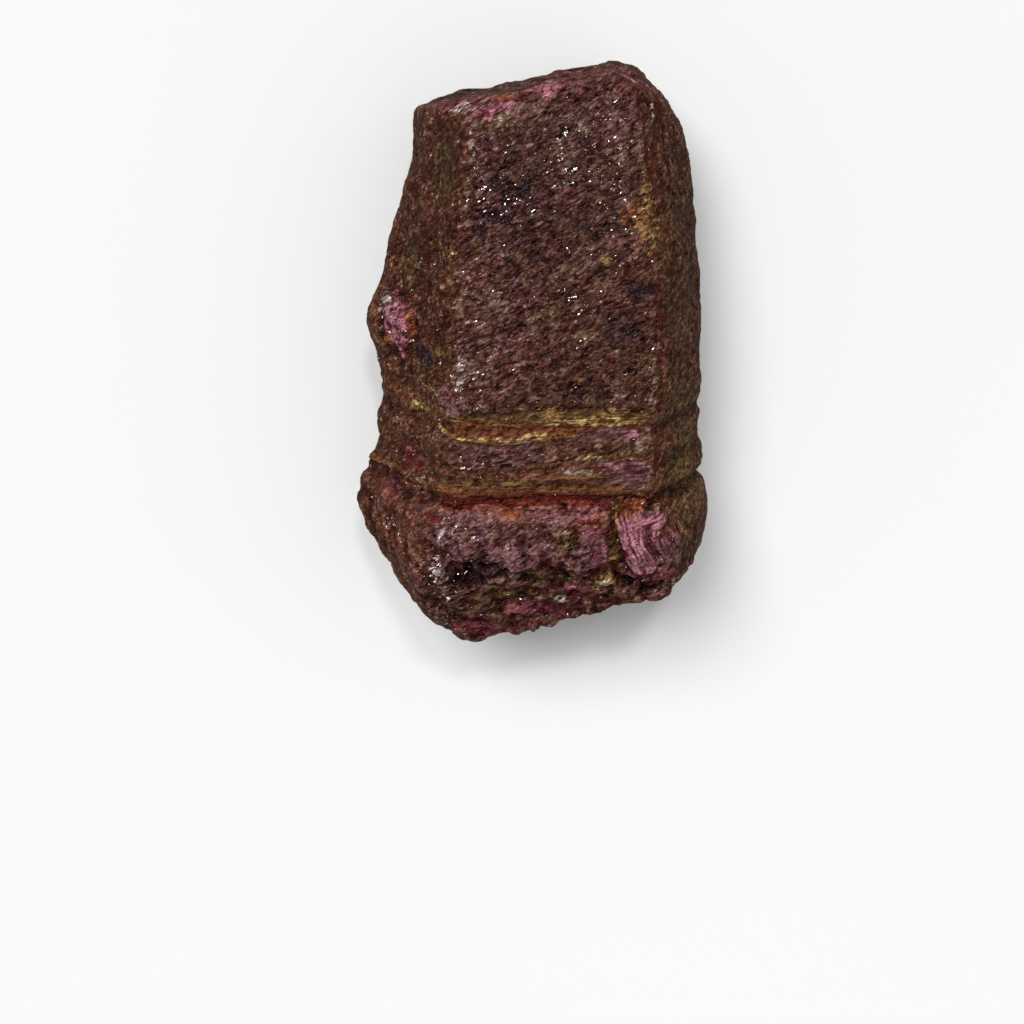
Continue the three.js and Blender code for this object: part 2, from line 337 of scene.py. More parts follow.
# ---------------------------------------------------------------- colour of the skin
# Where each tint of the stone shows: place and reach of every patch.
TINTS = {
    "olive": (
        ((-12.8, 30.0, 33.0), (4.0, 4.6, 5.0), 0.8),
        ((-18.4, 16.0, 26.0), (3.0, 2.6, 4.0), 0.8),
        ((-13.4, 4.0, 36.3), (1.6, 2.2, 2.4)),
        ((-14.4, -1.6, 36.0), (2.2, 1.2, 2.2)),
        ((23.0, 10.0, 31.0), (5.0, 30.0, 9.0), 0.6),
        ((23.6, -16.0, 31.0), (5.0, 14.0, 9.0), 0.9),
        ((5.3, -24.2, 42.3), (1.7, 2.6, 1.6)),
        ((2.4, -31.0, 40.2), (4.4, 2.2, 2.6)),
        ((-3.4, -35.0, 36.4), (4.4, 3.0, 4.0), 0.8),
        ((-19.0, -15.8, 32.2), (4.6, 0.8, 6.6)),
        ((4.0, -1.0, 40.6), (12.0, 3.0, 1.6), 0.5),
        ((8.0, 6.0, 40.6), (9.0, 7.0, 1.5), 0.3),
    ),
    # plum: dark purple stone, and painted shade in the hollows of the foot below the block and to its left
    "plum_and_painted_shade": (
        ((16.0, 13.4, 40.0), (2.4, 1.8, 1.4)),
        # painted shade in the hollows below the block
        ((14.8, -31.5, 39.8), (2.6, 1.7, 2.2)),
        ((18.8, -32.6, 38.8), (3.0, 1.4, 2.2), 0.9),
        ((-16.6, 2.4, 32.6), (2.4, 2.0, 2.6)),
        ((-0.6, -9.8, 40.8), (2.4, 1.2, 1.4), 0.7),
        ((-0.3, -24.4, 42.2), (3.6, 2.0, 2.0), 0.6),
        # painted shade in the dark hollow low on the foot
        ((-7.0, -29.6, 40.8), (6.2, 4.0, 3.0), 0.9),
        ((-2.0, 28.0, 38.6), (4.0, 2.4, 1.6), 0.8),
        ((13.0, 8.0, 40.4), (3.0, 2.4, 1.4), 0.7),
        ((-5.4, 24.6, 38.8), (3.0, 1.6, 1.6)),
        ((2.0, 27.0, 38.8), (15.0, 14.0, 4.0), 0.42),
    ),
    "rose": (
        ((-18.8, -14.0, 31.4), (4.0, 1.7, 6.0), 0.6),
        ((-20.6, 6.0, 26.4), (3.0, 4.2, 3.8)),      # knob
        ((-6.2, 40.0, 36.0), (3.8, 2.0, 2.6)),      # chip at the termination
        ((2.2, 42.6, 37.0), (2.4, 1.6, 2.0)),
        ((14.0, 43.6, 33.0), (2.6, 1.6, 2.6)),
        ((9.4, -23.0, 42.2), (2.2, 1.3, 2.0), 0.9),        # beside the crevice
        ((10.2, -26.4, 42.0), (1.4, 1.8, 2.0), 0.8),
        ((14.9, -7.7, 40.7), (1.6, 0.7, 1.4)),
        ((16.2, -12.7, 41.0), (1.6, 0.8, 1.4)),
        ((12.8, -12.9, 41.2), (3.0, 0.7, 1.4), 0.8),
        ((2.2, -20.2, 42.0), (1.7, 0.6, 1.4)),
        ((6.4, -19.6, 41.9), (4.6, 0.9, 1.6), 0.6),
        ((-2.5, -28.2, 41.3), (1.2, 2.0, 1.4), 0.7),
    ),
    "magenta": (
        ((1.3, -37.4, 34.6), (6.0, 2.0, 3.0)),
        ((6.0, -33.6, 38.0), (4.0, 1.5, 2.4)),
        ((-7.0, -41.6, 31.8), (5.0, 2.6, 3.0)),
        ((19.4, -30.6, 39.4), (3.6, 2.0, 3.0)),
        ((19.2, -25.2, 41.4), (2.2, 3.0, 2.4), 0.9),
        ((8.8, -22.6, 42.2), (3.0, 1.6, 2.0), 0.8),
        ((7.0, 43.0, 30.0), (14.0, 3.0, 13.0), 0.6),
        ((-12.0, 40.0, 28.0), (8.0, 2.4, 12.0), 0.7),
        ((-22.0, -20.5, 27.0), (3.0, 3.0, 4.0), 0.7),
    ),
    "mauve": (
        ((-10.6, -24.4, 42.0), (5.0, 4.2, 3.0)),
        ((5.0, -20.0, 42.0), (6.4, 1.2, 1.6)),
        ((0.5, -22.4, 42.4), (7.0, 1.4, 2.0), 0.7),
        ((-8.6, -20.8, 42.4), (5.0, 1.4, 2.0)),
        ((-18.5, -22.0, 36.0), (4.5, 7.0, 7.0), 0.5),
        ((-18.5, -30.0, 34.0), (4.5, 6.0, 6.0), 0.4),
        ((15.6, -14.6, 41.0), (3.0, 2.6, 2.0)),
        ((11.8, -7.9, 40.7), (4.6, 1.0, 1.4)),
        ((-6.0, -11.5, 41.0), (6.0, 2.2, 2.0), 0.7),
        ((9.0, -26.0, 42.0), (3.4, 4.0, 2.4), 0.8),
        ((17.0, -26.8, 42.0), (2.6, 2.2, 2.4), 0.8),
        ((-1.0, -25.6, 42.2), (8.0, 4.4, 2.4), 0.7),
        ((20.4, -26.0, 40.8), (3.4, 3.6, 3.0)),
        ((-12.5, -3.2, 38.6), (3.5, 2.4, 2.6), 0.8),
        ((-4.0, 24.0, 38.8), (5.0, 7.0, 3.0), 0.4),
        ((-5.0, 6.0, 40.0), (6.0, 12.0, 3.0), 0.4),
        ((11.0, 38.0, 37.5), (7.0, 4.0, 4.0), 0.6),
    ),
    "deep_red": (
        ((-18.6, -14.4, 31.6), (4.0, 1.7, 6.0), 0.75),      # lens on the left face
        ((4.4, -17.9, 40.6), (7.0, 0.7, 1.8)),
        ((-11.4, -18.8, 40.6), (3.2, 0.8, 2.0)),
        ((-15.0, -20.8, 40.8), (2.6, 0.7, 1.8)),
        ((-6.8, -18.6, 40.8), (3.0, 0.6, 1.8), 0.8),
        ((9.6, -21.0, 42.2), (2.8, 0.6, 1.6), 0.8),
    ),
    "orange": (
        ((-19.5, -18.2, 30.3), (1.8, 0.7, 2.6)),
        ((-3.0, -19.7, 41.7), (1.9, 1.3, 1.6)),
        ((14.2, -19.4, 42.4), (2.2, 1.0, 1.6)),
        ((16.0, -20.8, 43.0), (0.5, 1.6, 1.6)),
        ((18.4, -18.2, 41.0), (2.0, 0.8, 1.6), 0.8),
        ((-22.0, 3.6, 24.6), (1.3, 1.8, 1.8)),
        ((-8.3, -6.4, 40.4), (1.5, 0.5, 1.2)),
        ((-3.6, 41.2, 34.4), (1.9, 0.9, 2.0)),
        ((-3.7, 2.6, 40.3), (0.7, 1.0, 1.0)),
        ((-18.4, 7.2, 29.4), (0.9, 2.4, 1.8)),
        ((14.5, 24.6, 39.6), (1.8, 1.8, 1.4), 0.7),
        ((16.0, 23.0, 39.0), (2.2, 4.4, 1.8), 0.6),
        ((15.6, -18.6, 41.4), (3.4, 1.2, 2.0)),
        ((21.8, -22.4, 40.6), (2.4, 1.6, 2.2), 0.5),
    ),
    "ochre": (
        ((16.9, 25.4, 39.2), (1.7, 5.0, 2.0), 0.8),
        ((17.8, 22.0, 38.4), (1.4, 3.6, 2.0), 0.7),
        ((10.7, 18.2, 40.4), (1.0, 0.6, 0.8)),
        ((-17.0, -5.8, 32.0), (3.4, 1.3, 4.2)),
        ((11.3, -31.4, 40.0), (2.2, 1.5, 2.0)),
        ((5.3, -24.2, 42.3), (1.6, 2.4, 1.6), 0.7),
        ((23.6, -23.0, 37.0), (3.0, 5.0, 5.0), 0.6),
        ((-19.6, -33.0, 32.2), (1.8, 2.4, 2.6)),
        ((12.6, -24.0, 42.0), (0.9, 6.6, 2.0)),
        ((-13.0, 18.0, 36.0), (1.4, 1.0, 1.6)),
        ((4.0, -4.8, 40.8), (12.0, 1.1, 1.4), 0.6),
        ((-5.0, -15.6, 41.2), (6.0, 0.9, 1.4), 0.7),
        ((24.6, -18.0, 32.0), (2.4, 7.0, 5.0), 0.5),
        ((24.0, 8.0, 32.0), (2.4, 20.0, 5.0), 0.3),
    ),
    "gold": (
        ((9.2, -6.0, 40.9), (5.0, 0.7, 1.4)),
        ((3.0, -6.6, 40.8), (2.6, 0.4, 1.2), 0.9),
        ((14.4, -6.0, 40.9), (1.8, 0.4, 1.2), 0.7),
        ((0.3, -8.2, 40.5), (1.9, 0.45, 1.4)),
        ((-7.6, -8.8, 40.9), (5.0, 0.36, 1.6), 0.7),
        ((-13.2, -8.0, 37.2), (1.2, 0.5, 2.8), 0.9),
        ((-17.4, -5.6, 31.4), (1.8, 0.7, 2.4), 0.8),
        ((10.6, -11.4, 41.4), (5.4, 0.35, 1.2), 0.45),
        ((11.6, -31.2, 40.0), (1.0, 0.9, 1.2), 0.9),
        ((16.9, 27.0, 39.2), (0.8, 2.0, 1.2), 0.4),
    ),
    "chalk": (
        ((6.5, -13.4, 41.2), (2.2, 0.7, 1.4)),
        ((10.2, -11.8, 41.5), (1.6, 0.4, 1.2), 0.8),
        ((11.0, -31.9, 39.6), (1.0, 0.8, 1.2)),
        ((5.3, -24.0, 42.3), (1.8, 2.6, 1.6), 0.4),
        ((4.2, -34.8, 37.0), (1.6, 0.9, 1.4)),
        ((8.0, 37.0, 38.0), (1.2, 0.9, 1.2)),
        ((-20.0, -32.4, 31.6), (0.9, 1.4, 1.6)),
        ((-2.6, -9.0, 40.8), (2.0, 0.3, 1.0), 0.6),
    ),
    "glitter": (
        ((-20.6, 6.0, 26.4), (3.4, 4.4, 4.2)),
        ((-9.0, 3.0, 39.8), (3.0, 7.0, 3.0), 0.8),
        ((-16.0, 14.0, 30.0), (6.0, 24.0, 9.0), 0.5),
        ((-19.0, -24.0, 30.0), (5.0, 12.0, 9.0), 0.6),
        ((23.0, 6.0, 31.0), (6.0, 32.0, 10.0), 0.4),
        ((-3.6, 27.0, 38.8), (5.0, 3.4, 2.0)),
        ((10.0, 34.0, 38.6), (8.0, 7.0, 2.4)),
        ((10.6, 21.0, 40.0), (4.0, 3.4, 1.6)),
        ((8.0, 12.4, 40.4), (3.4, 2.6, 1.6)),
        ((-12.0, -27.0, 41.6), (3.6, 8.0, 3.0)),
        ((-14.0, -36.0, 36.0), (5.0, 5.0, 5.0)),
        ((-17.0, 2.0, 32.0), (5.0, 5.0, 5.0), 0.7),
        ((17.0, -26.0, 41.0), (5.0, 5.0, 3.0), 0.7),
        ((-6.0, -12.0, 41.0), (7.0, 2.6, 2.0), 0.6),
    ),
    # worn: pale wear, and on the head of the knob and along the left ridge of the foot pale grains that are
    # painted glints
    "worn": (
        # the knob's head: painted glints
        ((-22.6, 8.8, 23.4), (2.0, 2.0, 2.8)),      # head of the knob
        ((-20.8, 6.4, 26.2), (0.9, 2.8, 1.8), 0.9),
        ((-10.0, 39.4, 33.0), (3.6, 0.8, 3.4)),     # rim of the termination
        ((-9.0, 35.0, 38.0), (0.7, 2.6, 1.4), 0.7),
        ((-10.5, 1.0, 39.9), (0.8, 2.6, 1.2)),
        # along the left ridge of the foot: painted glints
        ((-13.6, -23.6, 42.1), (0.8, 2.6, 1.6)),
        ((-14.0, -29.2, 41.0), (1.4, 3.4, 2.2)),
        ((-13.4, -34.0, 38.4), (2.4, 2.4, 2.4), 0.7),
        ((-15.0, -39.6, 32.6), (2.6, 2.4, 3.0), 0.7),
        ((-19.6, -35.6, 30.0), (1.4, 1.6, 3.0), 0.7),
        ((14.6, 43.0, 33.0), (2.0, 1.0, 2.4)),
        ((21.6, -32.1, 37.6), (1.3, 1.1, 1.8)),
        ((17.5, 39.0, 34.0), (0.7, 3.4, 2.4), 0.8),
    ),
}


FULL_RELIEF = 0.12             # a point that stands out this far counts as fully raised
TINT_RAGGED = 0.45             # how ragged the patches of tint are
TINT_SEED = 30                 # the first tint's seed; the others count on from it


def paint(piece):
    """Stores how much of each tint every point of the skin takes, and where it lies among the seams."""
    points, normals = points_of(piece), normals_of(piece)
    leafy, _, across, rosy = block_leaves(points)
    for number, (tint, patches) in enumerate(TINTS.items()):
        amount = np.zeros(len(points))
        for place, reach, *strength in patches:
            part = patch(points, place, reach, TINT_RAGGED, TINT_SEED + number)
            amount = np.maximum(amount, part * (strength[0] if strength else 1.0))
        if tint == "rose":
            amount = np.maximum(amount, rosy)
        store(piece, tint, amount)
    count = seam_count(points)
    left_face = ramp(-normals[:, 0], 0.5, 0.85)
    right_face = ramp(points[:, 0], 16.0, 18.5) * ramp(normals[:, 2], -0.4, 0.2)
    ends = np.maximum(ramp(points[:, 0], 11.4, 12.2), ramp(points[:, 0], -12.6, -14.0))
    seamed = (1 - 0.7 * left_face) * (1 - 0.85 * right_face) * (1 - ends * ramp(count, 5.85, 5.95))
    laminated = seamed * ramp(count, -0.4, 0.0) * ramp(count, 6.5, 6.3)
    store(piece, "seams", count)
    store(piece, "seamed", seamed)
    store(piece, "laminated", np.maximum(laminated, leafy))
    store(piece, "leafy", leafy)
    store(piece, "across", across)
    store(piece, "side", ramp(np.abs(normals_far(piece, normals)[:, 0]), 0.42, 0.70))
    # how far each point stands out; the colour uses it for painted light on the relief and painted shade in
    # its hollows
    store(piece, "raised", np.clip(relief_of(piece, points, normals) / FULL_RELIEF, -1.0, 1.0))


def spread(piece, values, rounds):
    """The values of the piece's points, each averaged with its neighbours' so many times."""
    edges = np.empty(len(piece.data.edges) * 2, np.int32)
    piece.data.edges.foreach_get("vertices", edges)
    ends, others = np.concatenate((edges[0::2], edges[1::2])), np.concatenate((edges[1::2], edges[0::2]))
    share = 1.0 / np.bincount(ends, minlength=len(values))
    for _ in range(rounds):
        values = np.stack([np.bincount(ends, column[others], len(values)) * share for column in values.T], 1)
    return values


def relief_of(piece, points, normals):
    """How far each point stands out of the skin around it, in millimetres."""
    return ((points - spread(piece, points, 10)) * normals).sum(1)


def normals_far(piece, normals):
    """The normals of the face that each point is on, without its grain."""
    wide = spread(piece, normals, 16)
    return wide / np.linalg.norm(wide, axis=1)[:, None]


def store(piece, name, values):
    layer = piece.data.attributes.new(name, "FLOAT", "POINT")
    layer.data.foreach_set("value", values.astype(np.float32))


# ---------------------------------------------------------------- materials
class Graph:
    """Short words for the nodes of one material or group."""

    def __init__(self, tree):
        self.tree = tree

    def node(self, kind, **settings):
        made = self.tree.nodes.new(kind)
        for name, value in settings.items():
            setattr(made, name, value)
        return made

    def put(self, socket, value):
        if isinstance(value, bpy.types.NodeSocket):
            self.tree.links.new(value, socket)
        elif value is not None:
            socket.default_value = value

    def placed(self, tree, **given):
        """A group placed in this graph, its inputs given by name."""
        made = self.node("ShaderNodeGroup", node_tree=tree)
        for name, value in given.items():
            self.put(made.inputs[name], value)
        return made.outputs

    def maths(self, operation, first, second=None, third=None):
        made = self.node("ShaderNodeMath", operation=operation)
        for socket, value in zip(made.inputs, (first, second, third)):
            self.put(socket, value)
        return made.outputs[0]

    def total(self, *shares):
        """The sum of (value, weight) pairs, each value taken about its middle, 0.5."""
        result = 0.5
        for value, weight in shares:
            centred = self.maths("SUBTRACT", value, 0.5)
            result = self.maths("MULTIPLY_ADD", centred, weight, result)
        return result

    def vector(self, operation, first, second=None):
        made = self.node("ShaderNodeVectorMath", operation=operation)
        self.put(made.inputs[0], first)
        self.put(made.inputs["Scale"] if operation == "SCALE" else made.inputs[1], second)
        return made.outputs[0]

    def joined(self, x, y, z):
        made = self.node("ShaderNodeCombineXYZ")
        for socket, value in zip(made.inputs, (x, y, z)):
            self.put(socket, value)
        return made.outputs[0]

    def mix(self, share, under, over, how="MIX"):
        made = self.node("ShaderNodeMix", data_type="RGBA", blend_type=how)
        for number, value in zip((0, 6, 7), (share, under, over)):
            self.put(made.inputs[number], value)
        return made.outputs[2]

    def between(self, value, low, high, to_low=0.0, to_high=1.0):
        made = self.node("ShaderNodeMapRange", interpolation_type="SMOOTHSTEP")
        for socket, given in zip(made.inputs, (value, low, high, to_low, to_high)):
            self.put(socket, given)
        return made.outputs[0]

    def clouds(self, place, size, detail=2.0, roughness=0.5):
        made = self.node("ShaderNodeTexNoise")
        self.put(made.inputs["Vector"], place)
        made.inputs["Scale"].default_value = 1.0 / size
        made.inputs["Detail"].default_value = detail
        made.inputs["Roughness"].default_value = roughness
        return made.outputs[0]

    def colours(self, value, stops):
        """The colour, and the cover if the stops have a fourth number, of a value from 0 to 1."""
        made = self.node("ShaderNodeValToRGB")
        while len(made.color_ramp.elements) < len(stops):
            made.color_ramp.elements.new(0.5)
        for element, (place, tone) in zip(made.color_ramp.elements, stops):
            element.position = place
            element.color = (*tone, 1.0)[:4]
        self.put(made.inputs[0], value)
        return made.outputs

    def painted(self, name):
        return self.node("ShaderNodeAttribute", attribute_name=name).outputs["Fac"]


def group(name, inputs, outputs):
    """An empty node group, as its graph, the sockets it is given and the sockets it puts out."""
    tree = bpy.data.node_groups.new(name, "ShaderNodeTree")
    for word, kind in inputs.items():
        tree.interface.new_socket(word, in_out="INPUT", socket_type=kind)
    for word, kind in outputs.items():
        tree.interface.new_socket(word, in_out="OUTPUT", socket_type=kind)
    given, result = tree.nodes.new("NodeGroupInput"), tree.nodes.new("NodeGroupOutput")
    return Graph(tree), given.outputs, result.inputs


def grain_group():
    """Packed grains of one size: how each is turned, two random values for each, its core and its joints."""
    graph, given, result = group(
        "Corundum grains",
        {"Place": "NodeSocketVector", "Size": "NodeSocketFloat"},
        {"Turn": "NodeSocketVector", "Pick": "NodeSocketFloat", "Shine": "NodeSocketFloat",
         "Core": "NodeSocketFloat", "Joint": "NodeSocketFloat"},
    )
    scaled = graph.vector("SCALE", given["Place"], graph.maths("DIVIDE", 1.0, given["Size"]))
    warp = graph.node("ShaderNodeTexNoise")
    graph.put(warp.inputs["Vector"], scaled)
    warp.inputs["Scale"].default_value = 1.3
    bent = graph.vector("ADD", scaled, graph.vector("SCALE", warp.outputs["Color"], 0.35))
    grains = graph.node("ShaderNodeTexVoronoi", feature="F1")
    joints = graph.node("ShaderNodeTexVoronoi", feature="DISTANCE_TO_EDGE")
    for made in (grains, joints):
        graph.put(made.inputs["Vector"], bent)
        made.inputs["Scale"].default_value = 1.0
    random = graph.node("ShaderNodeSeparateXYZ")
    graph.put(random.inputs[0], grains.outputs["Color"])
    graph.put(result["Turn"], graph.vector("SUBTRACT", grains.outputs["Color"], (0.5, 0.5, 0.5)))
    graph.put(result["Pick"], random.outputs[0])
    graph.put(result["Shine"], random.outputs[1])
    graph.put(result["Core"], graph.between(grains.outputs["Distance"], 0.50, 0.30))
    graph.put(result["Joint"], graph.between(joints.outputs["Distance"], 0.0, 0.12, 1.0, 0.0))
    return graph.tree


def tint_group():
    """Turns a painted amount into a mask that takes or leaves whole grains at its edge."""
    graph, given, result = group(
        "Ragged tint",
        {"Amount": "NodeSocketFloat", "Grain": "NodeSocketFloat", "Cover": "NodeSocketFloat"},
        {"Mask": "NodeSocketFloat"},
    )
    level = graph.maths("MULTIPLY", given["Amount"], given["Cover"])
    over = graph.maths("ADD", level, graph.maths("SUBTRACT", given["Grain"], 0.5))
    mask = graph.maths("MULTIPLY", graph.between(over, 0.30, 0.75), graph.between(level, 0.02, 0.25))
    graph.put(result["Mask"], mask)
    return graph.tree


STONE = (
    (0.08, (0.005, 0.001, 0.001)),
    (0.24, (0.019, 0.003, 0.002)),
    (0.46, (0.062, 0.019, 0.012)),
    (0.60, (0.110, 0.048, 0.032)),
    (0.72, (0.180, 0.098, 0.068)),
    (0.84, (0.310, 0.205, 0.158)),
    (0.96, (0.470, 0.350, 0.285)),
)
SIDE_MIDDLE = (0.056, 0.021, 0.013, 1.0)       # the side faces are smoother
SIDE_SHADE = (1.17, 1.02, 0.82, 1.0)           # and browner
FOOT_SHADE = (1.16, 1.08, 1.12, 1.0)           # and the broken foot is brighter and pinker
RED_DRIFT = (1.10, 0.78, 0.86, 1.0)
BROWN_DRIFT = (1.02, 1.02, 0.64, 1.0)
BETWEEN_LEAVES = (0.110, 0.014, 0.028, 1.0)    # the fine lines between the leaves of the block
DULL_FLAKE = (0.55, 0.40, 0.32, 1.0)
BRIGHT_FLAKE = (0.78, 0.72, 0.74, 1.0)
# The darkest and the palest grains of each tint, and how much of the stone it covers.
TINT_COLOURS = {
    "olive": ((0.020, 0.012, 0.003), (0.200, 0.140, 0.042), 0.55),
    # plum is dark stone, and in the foot's hollows it is painted shade
    "plum_and_painted_shade": ((0.005, 0.001, 0.002), (0.080, 0.032, 0.037), 0.80),
    "rose": ((0.120, 0.007, 0.025), (0.660, 0.275, 0.330), 0.85),
    "magenta": ((0.045, 0.003, 0.007), (0.290, 0.072, 0.090), 0.72),
    "mauve": ((0.070, 0.019, 0.023), (0.320, 0.155, 0.172), 0.60),
    "deep_red": ((0.050, 0.003, 0.002), (0.175, 0.020, 0.015), 0.82),
    "orange": ((0.130, 0.024, 0.007), (0.420, 0.135, 0.055), 0.66),
    "ochre": ((0.060, 0.020, 0.004), (0.420, 0.250, 0.085), 0.62),
    "gold": ((0.150, 0.062, 0.012), (0.850, 0.620, 0.240), 0.80),
    "chalk": ((0.090, 0.062, 0.038), (0.520, 0.450, 0.320), 0.58),
    # worn is pale wear, and on the knob and the foot's left ridge it is painted glints
    "worn": ((0.180, 0.110, 0.100), (0.820, 0.720, 0.700), 0.40),
}
# The colour and the cover of the bands between the seams, counted from the head of the first parting.
BANDS = (
    (-0.35, (0.115, 0.057, 0.021, 0.0)),
    (-0.06, (0.034, 0.014, 0.006, 0.5)),
    (0.06, (0.021, 0.008, 0.003, 0.7)),
    (0.20, (0.127, 0.063, 0.017, 0.6)),
    (0.80, (0.196, 0.098, 0.028, 0.75)),
    (0.93, (0.391, 0.201, 0.046, 0.85)),
    (1.00, (0.057, 0.009, 0.003, 0.95)),
    (1.10, (0.172, 0.046, 0.016, 0.85)),
    (1.60, (0.218, 0.067, 0.025, 0.8)),
    (1.84, (0.218, 0.086, 0.023, 0.8)),
    (1.93, (0.437, 0.230, 0.057, 0.85)),
    (2.00, (0.052, 0.009, 0.005, 0.95)),
    (2.08, (0.149, 0.071, 0.055, 0.6)),
    (2.40, (0.115, 0.052, 0.039, 0.0)),
    (2.90, (0.127, 0.055, 0.023, 0.0)),
    (2.97, (0.276, 0.161, 0.040, 0.8)),
    (3.03, (0.046, 0.014, 0.006, 0.8)),
    (3.12, (0.161, 0.048, 0.025, 0.6)),
    (3.84, (0.184, 0.063, 0.034, 0.6)),
    (3.94, (0.322, 0.172, 0.052, 0.7)),
    (4.01, (0.069, 0.009, 0.005, 0.9)),
    (4.12, (0.115, 0.048, 0.025, 0.4)),
    (4.80, (0.161, 0.064, 0.025, 0.5)),
    (5.00, (0.253, 0.106, 0.032, 0.75)),
    (5.60, (0.196, 0.062, 0.021, 0.8)),
    (5.92, (0.127, 0.030, 0.011, 0.9)),
    (6.00, (0.023, 0.002, 0.001, 0.95)),
    (6.10, (0.102, 0.011, 0.006, 0.9)),
    (6.34, (0.198, 0.032, 0.018, 0.85)),
    (6.46, (0.329, 0.109, 0.076, 0.8)),
    (6.90, (0.281, 0.105, 0.079, 0.7)),
    (7.04, (0.108, 0.030, 0.014, 0.0)),
)
BAND_REACH = 8.0               # seams counted from -1 up to this share the ramp evenly


def grey(level):
    return level, level, level


def leaf_clouds(graph, place):
    """Clouds drawn out along the seams, and in the block along its leaves."""
    axes = graph.node("ShaderNodeSeparateXYZ")
    graph.put(axes.inputs[0], place)
    x, y, z = axes.outputs
    between_seams = graph.joined(
        graph.maths("MULTIPLY", x, 0.22),
        graph.maths("MULTIPLY", graph.painted("seams"), 7.0),
        graph.maths("MULTIPLY", z, 0.22),
    )
    in_block = graph.joined(
        graph.maths("MULTIPLY", x, 0.30),
        graph.maths("MULTIPLY", graph.painted("across"), 2.2),
        graph.maths("MULTIPLY", y, 0.30),
    )
    in_leaves = graph.between(graph.painted("leafy"), 0.3, 0.6)
    return graph.clouds(graph.mix(in_leaves, between_seams, in_block), 1.0, 4.0, 0.6)


def stone_colour(graph, place, pick):
    """The stone's own colour: grains from nearly black red to pale tan, redder and browner in drifts."""
    colour = graph.colours(pick, STONE)["Color"]
    sides = graph.mix(1.0, graph.mix(0.20, colour, SIDE_MIDDLE), SIDE_SHADE, "MULTIPLY")
    colour = graph.mix(graph.painted("side"), colour, sides)
    foot = graph.mix(1.0, colour, FOOT_SHADE, "MULTIPLY")
    colour = graph.mix(graph.between(graph.painted("seams"), 6.3, 6.9), colour, foot)
    hue = graph.clouds(place, 3.6, 4.0, 0.65)
    redder, browner = graph.between(hue, 0.48, 0.62, 0.0, 0.8), graph.between(hue, 0.48, 0.36, 0.0, 0.55)
    colour = graph.mix(redder, colour, RED_DRIFT, "MULTIPLY")
    return graph.mix(browner, colour, BROWN_DRIFT, "MULTIPLY")


def band_colour(graph, colour, leaves, fine, mottle):
    """Bands of brown, red and gold between the seams, broken up along them."""
    level = graph.maths("MULTIPLY_ADD", graph.maths("SUBTRACT", leaves, 0.5), 0.45, graph.painted("seams"))
    level = graph.maths("MULTIPLY_ADD", graph.maths("SUBTRACT", mottle, 0.5), 0.50, level)
    level = graph.maths("DIVIDE", graph.maths("ADD", level, 1.0), BAND_REACH + 1.0)
    band = graph.colours(level, [((count + 1.0) / (BAND_REACH + 1.0), tone) for count, tone in BANDS])
    streaks = graph.total((leaves, 1.6), (fine["Pick"], 0.4), (mottle, 1.1))
    shades = graph.colours(streaks, ((0.1, grey(0.35)), (0.5, grey(1.0)), (0.9, grey(1.9))))["Color"]
    streaked = graph.mix(1.0, band["Color"], shades, "MULTIPLY")
    patchy = graph.between(graph.total((leaves, 0.6), (mottle, 1.0)), 0.36, 0.56, 0.35, 1.0)
    cover = graph.maths("MULTIPLY", graph.maths("MULTIPLY", band["Alpha"], graph.painted("seamed")), patchy)
    return graph.mix(cover, colour, streaked)


def tint_colour(graph, colour, shade, breaking):
    """The tints, which whole grains take or leave."""
    ragged = tint_group()
    for tint, (dark, pale, cover) in TINT_COLOURS.items():
        mask = graph.placed(ragged, Amount=graph.painted(tint), Grain=breaking, Cover=cover)["Mask"]
        colour = graph.mix(mask, colour, graph.mix(shade, (*dark, 1.0), (*pale, 1.0)))
    return colour


COARSE_GRAIN = 0.75            # sizes of the two sorts of grain, before they are drawn out along the comb
FINE_GRAIN = 0.32
DRAWN_OUT = (2.0, 1.0, 1.6)    # how far grains are drawn out along the comb, across it and in depth
GRAIN_RELIEF = 0.22            # height of the bumps that are too fine for the mesh
STONE_SHEEN = 0.20             # specular level: low, because it is the flakes that shine


def paleness(graph, place, combed, coarse, fine, mottle):
    """How pale the stone is from grain to grain, lumpier on the broken foot, with painted light where the
    skin stands out and painted shade in its hollows.
    """
    pick = graph.total((coarse["Pick"], 0.22), (fine["Pick"], 0.30), (mottle, 0.92),
                       (graph.clouds(combed, 2.0, 3.0, 0.65), 0.27),
                       (graph.clouds(place, 9.0, 3.0, 0.6), 0.35))
    foot = graph.between(graph.painted("seams"), 6.4, 7.2)
    lumpy = graph.total((pick, 0.75), (graph.clouds(place, 3.0, 3.0, 0.6), 0.9))
    pick = graph.between(foot, 0.0, 1.0, pick, lumpy)
    pick = graph.maths("SUBTRACT", pick, graph.maths("MULTIPLY", coarse["Joint"], 0.10))
    # paler where the skin stands out and darker in its hollows: painted light and shade of the relief
    return graph.maths("MULTIPLY_ADD", graph.painted("raised"), 0.12, pick)


def between_leaves(graph, place, leaves):
    """1 on the fine dark lines between the leaves of the block, which waver and are broken in places."""
    waver = graph.maths("MULTIPLY", graph.clouds(place, 1.9, 4.0, 0.7), 1.7)
    turns = graph.maths("ADD", graph.maths("DIVIDE", graph.painted("across"), LEAF), waver)
    wave = graph.maths("SINE", graph.maths("MULTIPLY", turns, 2 * math.pi))
    faint = graph.between(leaves, 0.70, 0.40, 0.2, 1.0)
    broken = graph.between(graph.clouds(place, 0.8, 3.0, 0.7), 0.34, 0.50)
    line = graph.maths("MULTIPLY", graph.between(wave, -0.1, -1.0), faint)
    return graph.maths("MULTIPLY", graph.maths("MULTIPLY", line, broken), graph.painted("leafy"))


